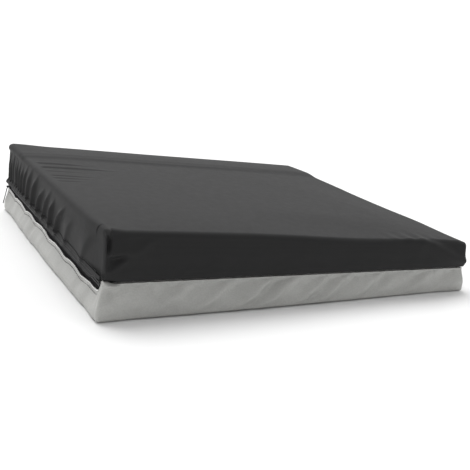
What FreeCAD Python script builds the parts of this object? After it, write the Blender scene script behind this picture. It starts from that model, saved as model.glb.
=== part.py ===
"""Pressure relief mattress section with a sloping lying surface, as a parametric FreeCAD document.

A charcoal stretch cover zips to a grey coated base cover along the left side, under a fabric flap.
Inside are a fire sleeve, four firm side walls, a foam core and a castellated top insert.
Millimetres, +Z up. The origin is the centre of the underside. The front faces -Y, the zip side -X.
"""
import FreeCAD
import Part
import Sketcher

import math
import os

SIZES = {
    # Outer envelope of the top cover
    "width": 800.0,
    "depth": 740.0,
    "thick_left": 158.0,
    "thick_right": 112.0,
    # Height of the seam between the two covers, at the left and the right side
    "seam_left": 66.0,
    "seam_right": 50.0,
    # Top cover
    "skin": 1.2,
    "cover_corner": 12.0,
    "cover_edge": 16.0,
    # Recessed band between the two covers
    "band_height": 12.0,
    "band_inset": 8.5,
    "lip_inset": 10.0,
    "lip_corner": 6.0,
    # Base cover
    "base_skin": 1.5,
    "base_inset": 4.0,
    "base_corner": 7.0,
    "base_edge": 5.0,
    "zip_side_height": 50.0,
    # Zip
    "zip_height": 60.0,
    "zip_near": -352.0,
    "zip_far": 362.0,
    "tape_skin": 0.8,
    "tape_width": 14.0,
    "tape_gap": 0.8,
    "sewn_gap": 0.1,
    "teeth_gap": 0.7,
    "teeth_width": 2.4,
    "teeth_skin": 1.8,
    "teeth_pitch": 3.4,
    "stop_length": 2.4,
    "rim_radius": 1.4,
    "thread_radius": 0.4,
    "thread_above_seam": 15.5,
    "rim_thread_height": 44.5,
    # Slider and pull
    "slider_length": 14.0,
    "slider_height": 9.6,
    "plate_skin": 1.3,
    "running_gap": 0.3,
    "post_skin": 0.8,
    "post_length": 5.0,
    "bridge_reach": 3.0,
    "bridge_radius": 0.8,
    "bridge_length": 7.0,
    "cheek_length": 1.2,
    "pull_bore": 1.2,
    "pull_eye": 2.2,
    "pull_width": 4.2,
    "pull_skin": 1.2,
    "pull_length": 43.0,
    "pull_lean": 13.0,
    # Flap over the zip
    "flap_skin": 1.4,
    "flap_near": -368.0,
    "flap_far": 369.0,
    "flap_hinge_out": 1.1,
    "flap_hinge_height": 79.6,
    "flap_stand_off": 5.2,
    "flap_knee_height": 71.0,
    "flap_foot_height": 60.5,
    # Sleeve and foam
    "sleeve_gap": 0.3,
    "sleeve_top_gap": 4.0,
    "sleeve_skin": 0.8,
    "sleeve_round": 6.0,
    "sleeve_mouth_inset": 20.0,
    "foam_side_gap": 2.7,
    "foam_top_gap": 1.6,
    "foam_joint": 0.4,
    "wall_width": 70.0,
    "insert_depth": 55.0,
    "groove_width": 3.0,
    "groove_depth": 38.0,
    "cells_across": 10.0,
    "cells_along": 9.0,
}

doc = FreeCAD.newDocument("mattress")
sheet = doc.addObject("Spreadsheet::Sheet", "Sizes")
for row, (alias, number) in enumerate(SIZES.items(), start=1):
    sheet.set(f"A{row}", alias)
    sheet.set(f"B{row}", str(number))
    sheet.setAlias(f"B{row}", alias)
doc.recompute()

sub_parts = []


def size(expression):
    """The number that an expression in the sheet's aliases comes to."""
    value = sheet.evalExpression(expression)
    return float(getattr(value, "Value", value))


def along_slope(left, right, across):
    """Expression: a height that runs straight from `left` to `right`, at the place `across` in x."""
    return f"({left} + ({right} - {left}) * (({across}) / Sizes.width + 0.5))"


def top_at(across, below="0"):
    return along_slope("Sizes.thick_left", "Sizes.thick_right", across) + f" - ({below})"


def seam_at(across, above="0"):
    return along_slope("Sizes.seam_left", "Sizes.seam_right", across) + f" + ({above})"


def half_width(inset):
    return f"(Sizes.width / 2 - ({inset}))"


def span(inset):
    """Expression: the depth of a piece that is `inset` from the envelope's front and back."""
    return f"Sizes.depth - 2 * ({inset})"


# Small builders


def new_body(label):
    body = doc.addObject("PartDesign::Body", label)
    body.Label = label
    sub_parts.append(body)
    return body


def origin_feature(body, role):
    return next(f for f in body.Origin.OriginFeatures if f.Role == role)


def polygon_sketch(body, name, corners, role="XZ_Plane"):
    """A closed outline whose corners are pairs of expressions, on one of the body's origin planes."""
    sketch = body.newObject("Sketcher::SketchObject", name)
    sketch.AttachmentSupport = [(origin_feature(body, role), "")]
    sketch.MapMode = "FlatFace"
    places = [FreeCAD.Vector(size(a), size(b), 0) for a, b in corners]
    for start, end in zip(places, places[1:] + places[:1]):
        sketch.addGeometry(Part.LineSegment(start, end))
    for index in range(len(corners)):
        sketch.addConstraint(Sketcher.Constraint("Coincident", index, 2, (index + 1) % len(corners), 1))
    for index, (a, b) in enumerate(corners):
        sizes = (("DistanceX", a, places[index].x), ("DistanceY", b, places[index].y))
        for kind, expression, number in sizes:
            made = sketch.addConstraint(Sketcher.Constraint(kind, index, 1, number))
            sketch.setExpression(f"Constraints[{made}]", expression)
    doc.recompute()
    return sketch


def wedge_sketch(body, name, left, right, low, high):
    """Outline between x = left and x = right, from the height low(x) up to high(x)."""
    corners = [(left, low(left)), (right, low(right)), (right, high(right)), (left, high(left))]
    return polygon_sketch(body, name, corners)


def extrude(body, kind, sketch, length):
    """A Pad or Pocket of the sketch, `length` long and centred on the sketch's plane."""
    before = body.Shape.Volume if kind == "Pocket" else 0.0
    feature = body.newObject(f"PartDesign::{kind}", f"{sketch.Name}_{kind}")
    feature.Profile = sketch
    feature.SideType = "Symmetric"
    feature.setExpression("Length", length)
    body.Tip = feature
    doc.recompute()
    if kind == "Pocket" and feature.Shape.Volume >= before:
        raise RuntimeError(f"{feature.Name} cut nothing")
    return feature


def pad_wedge(body, name, left, right, low, high, length):
    return extrude(body, "Pad", wedge_sketch(body, name, left, right, low, high), length)


def cut_wedge(body, name, left, right, low, high, length):
    return extrude(body, "Pocket", wedge_sketch(body, name, left, right, low, high), length)


def cut_zip_opening(body, name, reach, floor):
    """Cuts everything above `floor` away along the zip, `reach` inward from the left side."""
    before = body.Shape.Volume
    left, right = "-Sizes.width / 2 - 1", f"-Sizes.width / 2 + {reach}"
    corners = [(left, "Sizes.zip_near"), (right, "Sizes.zip_near"),
               (right, "Sizes.zip_far"), (left, "Sizes.zip_far")]
    sketch = polygon_sketch(body, name, corners, "XY_Plane")
    sketch.setExpression("AttachmentOffset.Base.z", floor)
    cut = body.newObject("PartDesign::Pocket", f"{name}_Pocket")
    cut.Profile = sketch
    cut.Reversed = True
    cut.setExpression("Length", "Sizes.thick_left")
    body.Tip = cut
    doc.recompute()
    if cut.Shape.Volume >= before:
        raise RuntimeError(f"{cut.Name} cut nothing")


def fillet(body, radius, wanted):
    """Rounds the edges that `wanted` accepts."""
    base = body.Tip
    edges = [f"Edge{n}" for n, edge in enumerate(base.Shape.Edges, start=1) if wanted(edge)]
    if not edges:
        raise RuntimeError(f"{body.Label} has no edge to round")
    feature = body.newObject("PartDesign::Fillet", f"{base.Name}_Fillet")
    feature.Base = (base, edges)
    feature.setExpression("Radius", radius)
    body.Tip = feature
    doc.recompute()
    return feature


def edge_box(edge):
    box = edge.BoundBox
    return box.XLength, box.YLength, box.ZLength


def upright_at(half_x, half_y):
    """Accepts upright edges at the four places (+-half_x, +-half_y)."""

    def wanted(edge):
        long_x, long_y, long_z = edge_box(edge)
        centre = edge.CenterOfMass
        off_x, off_y = abs(centre.x) - size(half_x), abs(centre.y) - size(half_y)
        return long_z > 1 and max(long_x, long_y, abs(off_x), abs(off_y)) < 0.01

    return wanted


def round_the_top(half_x, half_y, drop):
    """Accepts the edges of the sloping face that lies `drop` below the envelope's top."""

    def wanted(edge):
        centre = edge.CenterOfMass
        level = size(top_at(f"{centre.x}", drop))
        inside = abs(centre.x) < size(half_x) + 0.01 and abs(centre.y) < size(half_y) + 0.01
        long_x, long_y, _ = edge_box(edge)
        return inside and abs(centre.z - level) < 0.6 and max(long_x, long_y) > 3

    return wanted


def shape_part(label, shape):
    """A sub-part whose shape comes straight from Part's functions."""
    made = doc.addObject("Part::Feature", label)
    made.Label = label
    made.Shape = shape
    sub_parts.append(made)
    return made


def box_part(label, low, high):
    """A Part::Box between two corners, each three expressions."""
    made = doc.addObject("Part::Box", label)
    made.Label = label
    for side, a, b in zip(("Length", "Width", "Height"), low, high):
        made.setExpression(side, f"({b}) - ({a})")
    for axis, a in zip("xyz", low):
        made.setExpression(f"Placement.Base.{axis}", a)
    sub_parts.append(made)
    return made


def rod_part(label, radius, across, near, far, height):
    """A Part::Cylinder that lies along Y."""
    made = doc.addObject("Part::Cylinder", label)
    made.Label = label
    made.Placement.Rotation = FreeCAD.Rotation(FreeCAD.Vector(1, 0, 0), -90)
    made.setExpression("Radius", radius)
    made.setExpression("Height", f"({far}) - ({near})")
    made.setExpression("Placement.Base.x", across)
    made.setExpression("Placement.Base.y", near)
    made.setExpression("Placement.Base.z", height)
    sub_parts.append(made)
    return made


# The covers


def make_top_cover():
    """Stretch cover: top panel, four skirts and an inward lip along their lower edge."""
    body = new_body("top_cover")
    inside = "Sizes.skin"
    foot = "Sizes.band_height"
    outer, inner, mouth = half_width("0"), half_width(inside), half_width("Sizes.lip_inset")

    def lower(across):
        return seam_at(across, foot)

    pad_wedge(body, "cover_outer", f"-{outer}", outer, lower, top_at, span("0"))
    cut_wedge(body, "cover_hollow", f"-{inner}", inner,
              lambda x: seam_at(x, f"{foot} + {inside}"), lambda x: top_at(x, inside), span(inside))
    fillet(body, "Sizes.cover_corner - Sizes.skin", upright_at(inner, f"({span(inside)}) / 2"))
    fillet(body, "Sizes.cover_edge - Sizes.skin", round_the_top(inner, f"({span(inside)}) / 2", inside))
    fillet(body, "Sizes.cover_corner", upright_at(outer, "Sizes.depth / 2"))
    fillet(body, "Sizes.cover_edge", round_the_top(outer, "Sizes.depth / 2", "0"))
    cut_wedge(body, "cover_mouth", f"-{mouth}", mouth,
              lambda x: seam_at(x, f"{foot} - 1"), lambda x: seam_at(x, f"{foot} + {inside} + 1"),
              span("Sizes.lip_inset"))
    fillet(body, "Sizes.lip_corner", upright_at(mouth, f"({span('Sizes.lip_inset')}) / 2"))
    return body


def make_base_cover():
    """Coated tray with an inward lip on three sides; the zip side is lower and has no lip."""
    body = new_body("base_cover")
    deep = "Sizes.base_inset + Sizes.base_skin"
    outer, inner, mouth = half_width("Sizes.base_inset"), half_width(deep), half_width("Sizes.lip_inset")
    pad_wedge(body, "base_outer", f"-{outer}", outer, lambda x: "0 * Sizes.width", seam_at,
              span("Sizes.base_inset"))
    cut_wedge(body, "base_hollow", f"-{inner}", inner, lambda x: "Sizes.base_skin",
              lambda x: seam_at(x, "-Sizes.base_skin"), span(deep))
    fillet(body, "Sizes.base_corner - Sizes.base_skin", upright_at(inner, f"({span(deep)}) / 2"))
    cut_wedge(body, "base_mouth", f"-{mouth}", mouth, lambda x: seam_at(x, "-Sizes.base_skin - 1"),
              lambda x: seam_at(x, "1"), span("Sizes.lip_inset"))
    fillet(body, "Sizes.lip_corner", upright_at(mouth, f"({span('Sizes.lip_inset')}) / 2"))
    fillet(body, "Sizes.base_corner", upright_at(outer, f"({span('Sizes.base_inset')}) / 2"))

    cut_zip_opening(body, "zip_notch", "Sizes.lip_inset + 1", "Sizes.zip_side_height")
    return body


def make_seam_band():
    """Recessed band that joins the two covers round the front, the right side and the back."""
    body = new_body("seam_band")
    deep = "Sizes.band_inset + Sizes.skin"
    outer, inner = half_width("Sizes.band_inset"), half_width(deep)
    top = "Sizes.band_height"
    pad_wedge(body, "band_outer", f"-{outer}", outer, seam_at, lambda x: seam_at(x, top),
              span("Sizes.band_inset"))
    cut_wedge(body, "band_hollow", f"-{inner}", inner, lambda x: seam_at(x, "-1"),
              lambda x: seam_at(x, f"{top} + 1"), span(deep))
    fillet(body, "Sizes.lip_corner - Sizes.skin", upright_at(inner, f"({span(deep)}) / 2"))
    fillet(body, "Sizes.lip_corner", upright_at(outer, f"({span('Sizes.band_inset')}) / 2"))
    cut_zip_opening(body, "zip_window", "2 * Sizes.lip_inset", "0 * Sizes.width")
    return body


# The zip


TAPE_OUT = "-Sizes.width / 2 + Sizes.base_inset + Sizes.base_skin + Sizes.sewn_gap"
TEETH_MID = f"({TAPE_OUT} + Sizes.tape_skin / 2)"


def make_tapes():
    inside = f"{TAPE_OUT} + Sizes.tape_skin"
    low_top = "Sizes.zip_height - Sizes.tape_gap"
    high_foot = "Sizes.zip_height + Sizes.tape_gap"
    skirt_foot = seam_at("-Sizes.width / 2 + Sizes.lip_inset", "Sizes.band_height")
    near, far = "Sizes.zip_near + Sizes.running_gap", "Sizes.zip_far - Sizes.running_gap"
    box_part("zip_tape_lower", (TAPE_OUT, near, f"{low_top} - Sizes.tape_width"), (inside, far, low_top))
    box_part("zip_tape_upper", (TAPE_OUT, near, high_foot), (inside, far, skirt_foot))


def teeth_row(label, side):
    """A comb of zip teeth on the tape's edge; side is +1 above the zip line and -1 below it."""
    near, far = size("Sizes.zip_near + Sizes.stop_length"), size("Sizes.zip_far - Sizes.stop_length")
    pitch = size("Sizes.teeth_pitch")
    count = int((far - near) // pitch)
    tip, root = size("Sizes.teeth_gap"), size("Sizes.teeth_gap + Sizes.teeth_width")
    valley = tip + 0.6 * (root - tip)
    start = near + (far - near - count * pitch) / 2
    outline = [(start, root)]
    for tooth in range(count):
        left = start + tooth * pitch
        outline += [(left, valley), (left + 0.25 * pitch, valley), (left + 0.25 * pitch, tip),
                    (left + 0.75 * pitch, tip), (left + 0.75 * pitch, valley)]
    outline += [(start + count * pitch, valley), (start + count * pitch, root)]
    middle, thick = size("Sizes.zip_height"), size("Sizes.teeth_skin")
    across = size(TEETH_MID) - thick / 2
    points = [FreeCAD.Vector(across, y, middle + side * away) for y, away in outline]
    face = Part.Face(Part.makePolygon(points + points[:1]))
    tape = size("Sizes.tape_skin")
    tape_edge = middle + side * size("Sizes.tape_gap")
    slot = Part.makeBox(tape, far - near + 2, root,
                        FreeCAD.Vector(size(TAPE_OUT), near - 1, min(tape_edge, tape_edge + side * root)))
    return shape_part(label, face.extrude(FreeCAD.Vector(thick, 0, 0)).cut(slot))


def make_stops():
    """A moulded block across the teeth at each end of the zip, clear of the tapes' faces."""
    reach = "Sizes.teeth_gap + Sizes.teeth_width"
    low, high = f"Sizes.zip_height - ({reach})", f"Sizes.zip_height + ({reach})"
    outside, tape_face = f"{TAPE_OUT} - Sizes.plate_skin", TAPE_OUT
    ends = {"zip_stop_near": ("Sizes.zip_near", "Sizes.zip_near + Sizes.stop_length"),
            "zip_stop_far": ("Sizes.zip_far - Sizes.stop_length", "Sizes.zip_far")}
    for label, (near, far) in ends.items():
        box_part(label, (outside, near, low), (tape_face, far, high))


def slider_centre():
    """The slider's place along Y at rest, closed against the far stop."""
    return size("Sizes.zip_far - Sizes.stop_length - Sizes.running_gap - Sizes.slider_length / 2")


def plate_outline(centre, length, height):
    """The slider plate: wide at the mouth, on the closing side, and narrower behind."""
    half, nose = length / 2, 0.7 * height / 2
    corners = [(-half, nose), (half, height / 2), (half, -height / 2), (-half, -nose)]
    return [(centre + y, size("Sizes.zip_height") + z) for y, z in corners]


def hinge_line():
    """x and z of the pull's hinge: the bar of the slider's bridge."""
    piping = size("-Sizes.width / 2 + Sizes.base_inset - Sizes.rim_radius")
    plate = piping - size("Sizes.running_gap + Sizes.plate_skin")
    return plate - size("Sizes.bridge_reach"), size("Sizes.zip_height")


def prism(outline, low, high):
    """Extrudes an outline in Y and Z from x = low to x = high."""
    points = [FreeCAD.Vector(low, y, z) for y, z in outline]
    return Part.Face(Part.makePolygon(points + points[:1])).extrude(FreeCAD.Vector(high - low, 0, 0))


def make_slider():
    """Two plates joined by a post that runs between the rows of teeth, with a bridge for the pull."""
    centre, length, height = slider_centre(), size("Sizes.slider_length"), size("Sizes.slider_height")
    skin, gap = size("Sizes.plate_skin"), size("Sizes.running_gap")
    outline = plate_outline(centre, length, height)
    outer_face = size("-Sizes.width / 2 + Sizes.base_inset - Sizes.rim_radius") - gap
    inner_face = size(TEETH_MID) + size("Sizes.teeth_skin") / 2 + gap
    outer_plate = prism(outline, outer_face - skin, outer_face)
    inner_plate = prism(outline, inner_face, inner_face + skin)
    post_length, post_skin = size("Sizes.post_length"), size("Sizes.post_skin")
    post_place = FreeCAD.Vector(outer_face - skin / 2, centre + length / 2 - post_length,
                                size("Sizes.zip_height") - post_skin / 2)
    post = Part.makeBox(inner_face - outer_face + skin, post_length, post_skin, post_place)
    bar_x, bar_z = hinge_line()
    reach, thick = size("Sizes.bridge_length"), size("Sizes.cheek_length")
    radius = size("Sizes.bridge_radius")
    bar = Part.makeCylinder(radius, reach, FreeCAD.Vector(bar_x, centre - reach / 2, bar_z),
                            FreeCAD.Vector(0, 1, 0))
    cheeks = [Part.makeBox(outer_face - skin / 2 - bar_x, thick, 2 * radius,
                           FreeCAD.Vector(bar_x, centre + place, bar_z - radius))
              for place in (-reach / 2, reach / 2 - thick)]
    shape = outer_plate.multiFuse([inner_plate, post, bar] + cheeks).removeSplitter()
    return shape_part("zip_slider", shape)


def make_pull():
    """Flat tab with a round eye on the slider's bar; below the eye it leans out from the wall."""
    bar_x, bar_z = hinge_line()
    width, eye, bore = size("Sizes.pull_width"), size("Sizes.pull_eye"), size("Sizes.pull_bore")
    near = slider_centre() - width / 2
    start, along = FreeCAD.Vector(bar_x, near, bar_z), FreeCAD.Vector(0, 1, 0)
    ring = Part.makeCylinder(eye, width, start, along)
    skin, length = size("Sizes.pull_skin"), size("Sizes.pull_length")
    tab = Part.makeBox(skin, width, length, FreeCAD.Vector(-skin / 2, near, -length))
    ends = [e for e in tab.Edges if abs(e.CenterOfMass.z + length) < 0.01 and edge_box(e)[0] > 0.5]
    tab = tab.makeFillet(0.4 * width, ends)
    tab.rotate(FreeCAD.Vector(0, 0, 0), along, size("Sizes.pull_lean"))
    tab.translate(FreeCAD.Vector(bar_x, 0, bar_z))
    shape = ring.fuse(tab).cut(Part.makeCylinder(bore, width, start, along))
    return shape_part("zip_pull", shape.removeSplitter())


def make_flap():
    """Fabric flap that hangs from the skirt over the zip, with a knee that stands it off the slider."""
    skin = size("Sizes.flap_skin")
    wall = size("-Sizes.width / 2")
    hinge = FreeCAD.Vector(wall - size("Sizes.flap_hinge_out"), 0, size("Sizes.flap_hinge_height"))
    outside = wall - size("Sizes.flap_stand_off")
    knee = FreeCAD.Vector(outside, 0, size("Sizes.flap_knee_height"))
    foot = FreeCAD.Vector(outside, 0, size("Sizes.flap_foot_height"))
    half = skin / 2
    lean = (hinge - knee).normalize()
    across = FreeCAD.Vector(lean.z, 0, -lean.x) * half
    middle = (lean + FreeCAD.Vector(0, 0, 1)).normalize()
    mitre = FreeCAD.Vector(middle.z, 0, -middle.x) * (half / math.cos(middle.getAngle(lean)))
    side = FreeCAD.Vector(half, 0, 0)
    rounded = Part.Arc(hinge - across, hinge + lean * half, hinge + across)
    runs = [(hinge + across, knee + mitre), (knee + mitre, foot + side), (foot + side, foot - side),
            (foot - side, knee - mitre), (knee - mitre, hinge - across)]
    edges = [rounded.toShape()] + [Part.LineSegment(a, b).toShape() for a, b in runs]
    face = Part.Face(Part.Wire(Part.__sortEdges__(edges)))
    near, far = size("Sizes.flap_near"), size("Sizes.flap_far")
    face.translate(FreeCAD.Vector(0, near, 0))
    return shape_part("zip_flap", face.extrude(FreeCAD.Vector(0, far - near, 0)))


def make_trim():
    """Rim piping on the zip side of the base, and the two rows of thread."""
    wall = "-Sizes.width / 2 + Sizes.base_inset"
    rod_part("base_rim_piping", "Sizes.rim_radius", wall,
             "Sizes.zip_near + Sizes.stop_length + Sizes.running_gap",
             "Sizes.zip_far - Sizes.stop_length - Sizes.running_gap",
             "Sizes.zip_side_height + Sizes.rim_radius")
    rod_part("rim_thread", "Sizes.thread_radius", f"{wall} - Sizes.thread_radius", "Sizes.zip_near",
             "Sizes.zip_far - 2 * Sizes.lip_inset", "Sizes.rim_thread_height")
    rod_part("flap_thread", "Sizes.thread_radius", "-Sizes.width / 2 - Sizes.thread_radius",
             "Sizes.zip_near", "Sizes.zip_far - Sizes.lip_inset",
             "Sizes.seam_left + Sizes.thread_above_seam")


# The sleeve and the foam


SLEEVE_INSET = "Sizes.lip_inset + Sizes.sleeve_gap"
SLEEVE_DROP = "Sizes.skin + Sizes.sleeve_top_gap"
FOAM_INSET = f"{SLEEVE_INSET} + Sizes.sleeve_skin + Sizes.foam_side_gap"
FOAM_DROP = f"{SLEEVE_DROP} + Sizes.sleeve_skin + Sizes.foam_top_gap"
FOAM_FLOOR = "Sizes.base_skin + 2 * Sizes.sleeve_gap + Sizes.sleeve_skin"


def make_sleeve():
    """Fire sleeve: a knitted bag round the foam, open at the right end."""
    body = new_body("fire_sleeve")
    outer = half_width(SLEEVE_INSET)
    deep = f"{SLEEVE_INSET} + Sizes.sleeve_skin"
    floor = "Sizes.base_skin + Sizes.sleeve_gap"
    mouth = half_width("Sizes.sleeve_mouth_inset")
    pad_wedge(body, "sleeve_outer", f"-{outer}", mouth, lambda x: floor, lambda x: top_at(x, SLEEVE_DROP),
              span(SLEEVE_INSET))
    cut_wedge(body, "sleeve_hollow", f"-{half_width(deep)}", half_width("0"),
              lambda x: f"{floor} + Sizes.sleeve_skin",
              lambda x: top_at(x, f"{SLEEVE_DROP} + Sizes.sleeve_skin"), span(deep))
    inner_drop = f"{SLEEVE_DROP} + Sizes.sleeve_skin"

    def not_at_mouth(wanted):
        return lambda edge: wanted(edge) and edge.CenterOfMass.x < size(mouth) - 1

    inner_half = f"({span(deep)}) / 2"
    fillet(body, "Sizes.sleeve_round - Sizes.sleeve_skin", upright_at(half_width(deep), inner_half))
    fillet(body, "Sizes.sleeve_round - Sizes.sleeve_skin",
           not_at_mouth(round_the_top(half_width(deep), inner_half, inner_drop)))
    outer_half = f"({span(SLEEVE_INSET)}) / 2"
    fillet(body, "Sizes.sleeve_round", not_at_mouth(upright_at(outer, outer_half)))
    fillet(body, "Sizes.sleeve_round", not_at_mouth(round_the_top(outer, outer_half, SLEEVE_DROP)))
    return body


def foam_block(label, left, right, low, high, length, shift="0"):
    """A wedge of foam, `length` deep and moved by `shift` along Y."""
    body = new_body(label)
    pad_wedge(body, f"{label}_outline", left, right, low, high, length)
    body.setExpression("Placement.Base.y", shift)
    return body


def make_foam():
    outer = half_width(FOAM_INSET)
    inner = f"({outer} - Sizes.wall_width)"
    half_depth = f"(({span(FOAM_INSET)}) / 2)"
    room = f"2 * ({half_depth} - Sizes.wall_width - Sizes.foam_joint)"
    wall_middle = f"{half_depth} - Sizes.wall_width / 2"

    def floor(_):
        return FOAM_FLOOR

    def foam_top(across):
        return top_at(across, FOAM_DROP)

    def insert_floor(across):
        return top_at(across, f"{FOAM_DROP} + Sizes.insert_depth")

    def core_top(across):
        return top_at(across, f"{FOAM_DROP} + Sizes.insert_depth + Sizes.foam_joint")

    for label, sign in (("side_wall_front", "-1"), ("side_wall_back", "1")):
        foam_block(label, f"-{outer}", outer, floor, foam_top, "Sizes.wall_width",
                   f"{sign} * ({wall_middle})")
    foam_block("side_wall_left", f"-{outer}", f"-{inner}", floor, foam_top, room)
    foam_block("side_wall_right", inner, outer, floor, foam_top, room)
    hole = f"({inner} - Sizes.foam_joint)"
    foam_block("foam_core", f"-{hole}", hole, floor, core_top, room)
    insert = foam_block("castellated_insert", f"-{hole}", hole, insert_floor, foam_top, room)

    def pattern(cut, direction, length, cells):
        """Repeats a groove so that it parts the insert into `cells` equal cells."""
        made = insert.newObject("PartDesign::LinearPattern", f"{cut.Name}_Pattern")
        made.Originals = [cut]
        made.Direction = direction
        made.setExpression("Length", f"({length}) * (Sizes.{cells} - 2) / Sizes.{cells}")
        made.Occurrences = int(size(f"Sizes.{cells}")) - 1
        before = insert.Tip.Shape.Volume
        insert.Tip = made
        doc.recompute()
        if made.Shape.Volume >= before:
            raise RuntimeError(f"{made.Name} cut nothing")

    def groove_floor(across):
        return top_at(across, f"{FOAM_DROP} + Sizes.groove_depth")

    def above(across):
        return top_at(across, f"{FOAM_DROP} - 2")

    first = f"(-{hole} + 2 * {hole} / Sizes.cells_across)"
    slot_left, slot_right = f"{first} - Sizes.groove_width / 2", f"{first} + Sizes.groove_width / 2"
    across_cut = cut_wedge(insert, "groove_along_y", slot_left, slot_right, groove_floor, above,
                           f"({room}) + 2")
    slope = "pow((Sizes.thick_left - Sizes.thick_right) / Sizes.width; 2)"
    floor_line = (doc.getObject("castellated_insert_outline"), ["Edge1"])
    pattern(across_cut, floor_line, f"2 * {hole} * sqrt(1 + {slope})", "cells_across")
    sketch = wedge_sketch(insert, "groove_along_x", f"-{hole} - 1", f"{hole} + 1", groove_floor, above)
    sketch.setExpression("AttachmentOffset.Base.z", f"({room}) * (0.5 - 1 / Sizes.cells_along)")
    along_cut = extrude(insert, "Pocket", sketch, "Sizes.groove_width")
    pattern(along_cut, (origin_feature(insert, "Y_Axis"), [""]), room, "cells_along")


def check(feature):
    """Stops the build if a feature failed or a sub-part's shape isn't a valid solid."""
    if "Invalid" in feature.State or "Error" in feature.State:
        raise RuntimeError(f"{feature.Name} failed: {feature.State}")


def write_parts():
    os.makedirs("parts", exist_ok=True)
    for feature in doc.Objects:
        check(feature)
    for part in sub_parts:
        shape = part.Shape
        if shape.isNull() or not shape.isValid() or not shape.Solids:
            raise RuntimeError(f"{part.Label} has no valid solid")
        shape.exportStep(os.path.join("parts", f"{part.Label}.step"))
        box = shape.BoundBox
        print(f"{part.Label:20s} {len(shape.Solids)} solid, {shape.Volume / 1000:10.2f} cm3, "
              f"x {box.XMin:.1f} to {box.XMax:.1f}, y {box.YMin:.1f} to {box.YMax:.1f}, "
              f"z {box.ZMin:.1f} to {box.ZMax:.1f}")


make_top_cover()
make_seam_band()
make_base_cover()
make_tapes()
teeth_row("zip_teeth_upper", 1)
teeth_row("zip_teeth_lower", -1)
make_stops()
make_slider()
make_pull()
make_flap()
make_trim()
make_sleeve()
make_foam()
doc.recompute()
write_parts()
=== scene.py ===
"""The mattress section's looks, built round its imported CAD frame: covers, hem, rim, threads, light."""

import math
import random

import bpy
import numpy as np
from mathutils import Matrix, Vector


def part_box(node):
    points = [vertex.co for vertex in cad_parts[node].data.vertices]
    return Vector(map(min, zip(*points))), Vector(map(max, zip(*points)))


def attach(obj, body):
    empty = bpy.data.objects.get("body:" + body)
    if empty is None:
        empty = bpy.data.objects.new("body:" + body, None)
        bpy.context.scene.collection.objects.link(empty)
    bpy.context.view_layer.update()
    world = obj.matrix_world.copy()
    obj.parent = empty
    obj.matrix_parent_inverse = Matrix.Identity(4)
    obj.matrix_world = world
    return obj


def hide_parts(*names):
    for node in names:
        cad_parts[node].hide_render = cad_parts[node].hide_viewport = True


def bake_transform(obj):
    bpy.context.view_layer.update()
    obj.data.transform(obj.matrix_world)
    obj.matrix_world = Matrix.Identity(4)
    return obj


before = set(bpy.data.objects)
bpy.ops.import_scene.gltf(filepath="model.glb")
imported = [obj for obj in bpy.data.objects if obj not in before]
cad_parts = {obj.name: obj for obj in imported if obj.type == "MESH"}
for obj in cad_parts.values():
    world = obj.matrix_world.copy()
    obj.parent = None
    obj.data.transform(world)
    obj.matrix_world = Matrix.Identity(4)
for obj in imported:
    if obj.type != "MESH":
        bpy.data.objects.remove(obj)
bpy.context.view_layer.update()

# Main sizes in metres, read from the frame
COVER_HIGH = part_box("top_cover")[1]
BASE_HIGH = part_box("base_cover")[1]
BAND_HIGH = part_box("seam_band")[1]
FLAP_LOW, FLAP_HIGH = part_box("zip_flap")
PIPING_LOW, PIPING_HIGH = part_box("base_rim_piping")
HALF_X, HALF_Y = COVER_HIGH.x, COVER_HIGH.y
BASE_X, BASE_Y = BASE_HIGH.x, BASE_HIGH.y
RIM_HEIGHT = PIPING_LOW.z
ZIP_NEAR, ZIP_FAR = PIPING_LOW.y, PIPING_HIGH.y

# Heights at the left and right sides, which the boxes don't give because the part is a wedge
THICK_LEFT, THICK_RIGHT = 0.158, 0.112
SEAM_LEFT, SEAM_RIGHT = 0.066, 0.050
BAND_TALL = 0.012

# Rounding of the covers' edges, and thickness of their cloth
COVER_ROUND, BASE_ROUND = 0.012, 0.0028
COVER_CLOTH, BASE_CLOTH, BAND_CLOTH = 0.0011, 0.0012, 0.0010


# Small maths on arrays


def slope(left, right, x):
    """Runs straight from `left` at the left side to `right` at the right side."""
    return left + (right - left) * (x / (2 * HALF_X) + 0.5)


def ramp(low, high, value):
    """0 below `low`, 1 above `high`, smooth between; works both ways round."""
    part = np.clip((value - low) / (high - low), 0.0, 1.0)
    return part * part * (3 - 2 * part)


def bump(centre, width, value):
    """A smooth hill of height 1 and about twice `width` across."""
    return np.exp(-(((value - centre) / width) ** 2))


def waves(value, seed, longest, octaves=3):
    """Seeded smooth noise along a line, from about -1 to 1."""
    dice = random.Random(seed)
    total, size = 0.0, 1.0
    for octave in range(octaves):
        length = longest / 1.7**octave
        for _ in range(3):
            stretch = dice.uniform(0.75, 1.35)
            start = dice.uniform(0, 6.28)
            total = total + size * np.sin(2 * math.pi * value / (length * stretch) + start)
        size *= 0.6
    return total / (3 * sum(0.6**octave for octave in range(octaves))) * 1.6


def spread(low, high, edge_step, step, edge_zone):
    """Places from low to high, close together within `edge_zone` of both ends."""
    near = int(round(edge_zone / edge_step))
    middle = max(2, int(round((high - low - 2 * edge_zone) / step)))
    start = np.linspace(low, low + edge_zone, near + 1)
    mid = np.linspace(low + edge_zone, high - edge_zone, middle + 1)
    end = np.linspace(high - edge_zone, high, near + 1)
    return np.concatenate([start, mid[1:], end[1:]])


def zip_side(x, y, half_x):
    """1 on the zip's stretch of the left wall, 0 elsewhere."""
    along = ramp(ZIP_NEAR - 0.010, ZIP_NEAR + 0.001, y) * ramp(ZIP_FAR + 0.006, ZIP_FAR - 0.004, y)
    return ramp(-half_x + 0.016, -half_x + 0.010, x) * along


# Grids, meshes and cloth


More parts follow.
